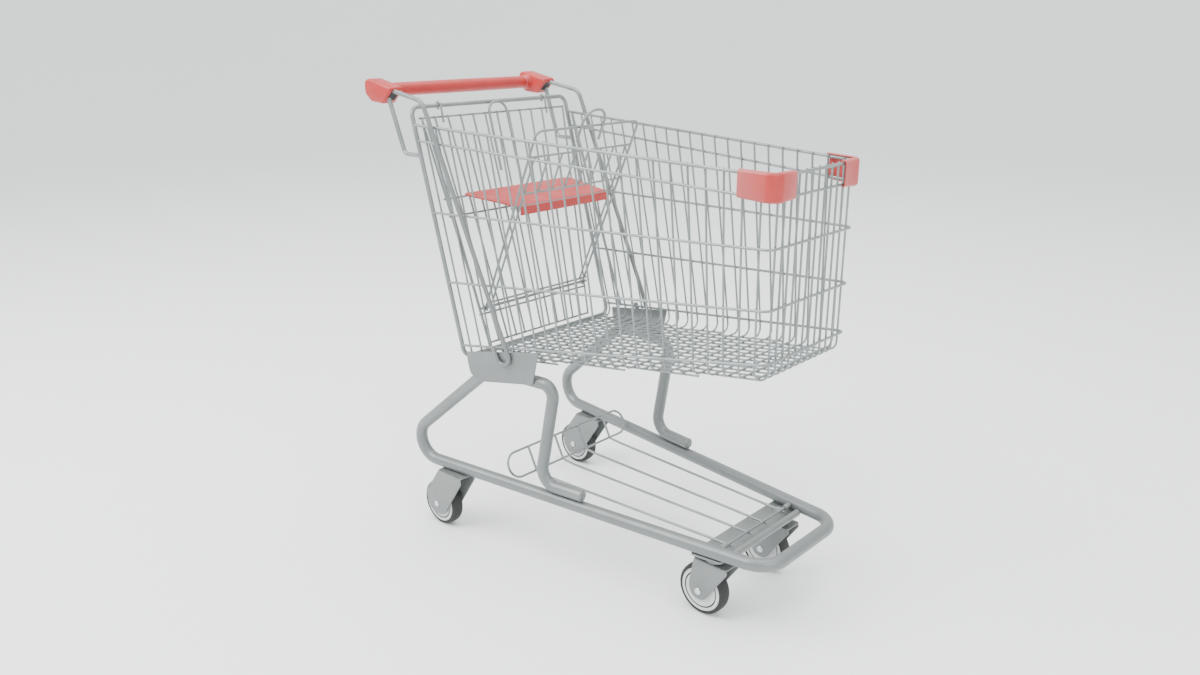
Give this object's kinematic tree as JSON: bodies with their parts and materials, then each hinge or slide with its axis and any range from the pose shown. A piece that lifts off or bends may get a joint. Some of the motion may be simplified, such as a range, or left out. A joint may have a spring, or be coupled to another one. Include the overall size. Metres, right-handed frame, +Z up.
{
  "type": "shopping cart",
  "caption": "Wire shopping cart with a tapered basket, folding child seat, lift-up rear gate, red plastic handle, lower wire tray and casters.",
  "frame": {"origin": "On the floor, at the middle of the cart's overall length and width.", "axes": "+X is the way the cart is pushed (basket front), +Y is the pusher's left, +Z is up."},
  "size_m": [0.986, 0.493, 0.977],
  "materials": {
    "silver_lacquer": "silver-grey lacquer on steel tube and sheet",
    "grid_wire": "clear-lacquered zinc on welded steel wire",
    "red_plastic": "salmon-red injection-moulded plastic, satin",
    "tread_rubber": "dark grey non-marking rubber",
    "hub_nylon": "light grey moulded nylon",
    "zinc_steel": "bright zinc-plated steel",
    "bearing_steel": "plain bearing steel"
  },
  "bodies": {
    "chassis": {"base_rail": "silver_lacquer", "front_strut_left": "silver_lacquer", "side_plate_left": "silver_lacquer", "front_strut_right": "silver_lacquer", "side_plate_right": "silver_lacquer", "caster_cross_plate": "silver_lacquer", "cross_plate_lip": "silver_lacquer", "rear_frame": "grid_wire", "upright_left": "silver_lacquer", "handle_stay_left": "grid_wire", "upright_right": "silver_lacquer", "handle_stay_right": "grid_wire", "handle_grip": "red_plastic", "handle_core_tube": "zinc_steel", "handle_cap_left": "red_plastic", "handle_cap_right": "red_plastic", "basket_side_left": "grid_wire", "basket_stiffener_left": "grid_wire", "basket_side_right": "grid_wire", "basket_stiffener_right": "grid_wire", "basket_front": "grid_wire", "basket_floor": "grid_wire", "corner_bumper_left": "red_plastic", "corner_bumper_right": "red_plastic", "tray_sleeve_left": "grid_wire", "tray_sleeve_right": "grid_wire", "caster_fork_rear_left": "silver_lacquer", "axle_bolt_rear_left": "zinc_steel", "swivel_head_front_left": "zinc_steel", "kingpin_front_left": "zinc_steel", "caster_fork_rear_right": "silver_lacquer", "axle_bolt_rear_right": "zinc_steel", "swivel_head_front_right": "zinc_steel", "kingpin_front_right": "zinc_steel"},
    "gate": {"rear_gate": "grid_wire", "seat_hinge_rod": "grid_wire"},
    "seat_back_frame": {"seat_back": "grid_wire", "seat_pivot_rod": "grid_wire"},
    "seat_panel": {"child_seat": "red_plastic"},
    "tray": {"lower_tray": "grid_wire"},
    "rear_wheel_left": {"tyre_rear_left": "tread_rubber", "wheel_hub_rear_left": "hub_nylon", "wheel_bearing_rear_left": "bearing_steel"},
    "front_caster_left": {"caster_fork_front_left": "silver_lacquer", "axle_bolt_front_left": "zinc_steel"},
    "front_wheel_left": {"tyre_front_left": "tread_rubber", "wheel_hub_front_left": "hub_nylon", "wheel_bearing_front_left": "bearing_steel"},
    "rear_wheel_right": {"tyre_rear_right": "tread_rubber", "wheel_hub_rear_right": "hub_nylon", "wheel_bearing_rear_right": "bearing_steel"},
    "front_caster_right": {"caster_fork_front_right": "silver_lacquer", "axle_bolt_front_right": "zinc_steel"},
    "front_wheel_right": {"tyre_front_right": "tread_rubber", "wheel_hub_front_right": "hub_nylon", "wheel_bearing_front_right": "bearing_steel"}
  },
  "joints": [
    {"name": "gate_hinge", "type": "hinge", "parent": "chassis", "child": "gate", "pos_m": [-0.35804, 0, 0.924], "axis": [0, -1, 0], "range_deg": [0, 75]},
    {"name": "seat_back_hinge", "type": "hinge", "parent": "gate", "child": "seat_back_frame", "pos_m": [-0.23239, 0, 0.511], "axis": [0, 1, 0], "range_deg": [-27, 0]},
    {"name": "seat_panel_hinge", "type": "hinge", "parent": "seat_back_frame", "child": "seat_panel", "pos_m": [-0.14006, 0, 0.73476], "axis": [0, 1, 0], "range_deg": [0, 84]},
    {"name": "tray_hinge", "type": "hinge", "parent": "chassis", "child": "tray", "pos_m": [0.37496, 0, 0.157], "axis": [0, 1, 0], "range_deg": [0, 15]},
    {"name": "rear_wheel_spin_left", "type": "hinge", "parent": "chassis", "child": "rear_wheel_left", "pos_m": [-0.31804, 0.221, 0.052], "axis": [0, 1, 0], "continuous": true},
    {"name": "front_swivel_left", "type": "hinge", "parent": "chassis", "child": "front_caster_left", "pos_m": [0.35746, 0.106, 0.052], "axis": [0, 0, 1], "continuous": true},
    {"name": "front_wheel_spin_left", "type": "hinge", "parent": "front_caster_left", "child": "front_wheel_left", "pos_m": [0.33246, 0.106, 0.052], "axis": [0, 1, 0], "continuous": true},
    {"name": "rear_wheel_spin_right", "type": "hinge", "parent": "chassis", "child": "rear_wheel_right", "pos_m": [-0.31804, -0.221, 0.052], "axis": [0, 1, 0], "continuous": true},
    {"name": "front_swivel_right", "type": "hinge", "parent": "chassis", "child": "front_caster_right", "pos_m": [0.35746, -0.106, 0.052], "axis": [0, 0, 1], "continuous": true},
    {"name": "front_wheel_spin_right", "type": "hinge", "parent": "front_caster_right", "child": "front_wheel_right", "pos_m": [0.33246, -0.106, 0.052], "axis": [0, 1, 0], "continuous": true}
  ],
  "couplings": [
    {"joint": "seat_panel_hinge", "follows": "seat_back_hinge", "ratio": -3.1}
  ]
}
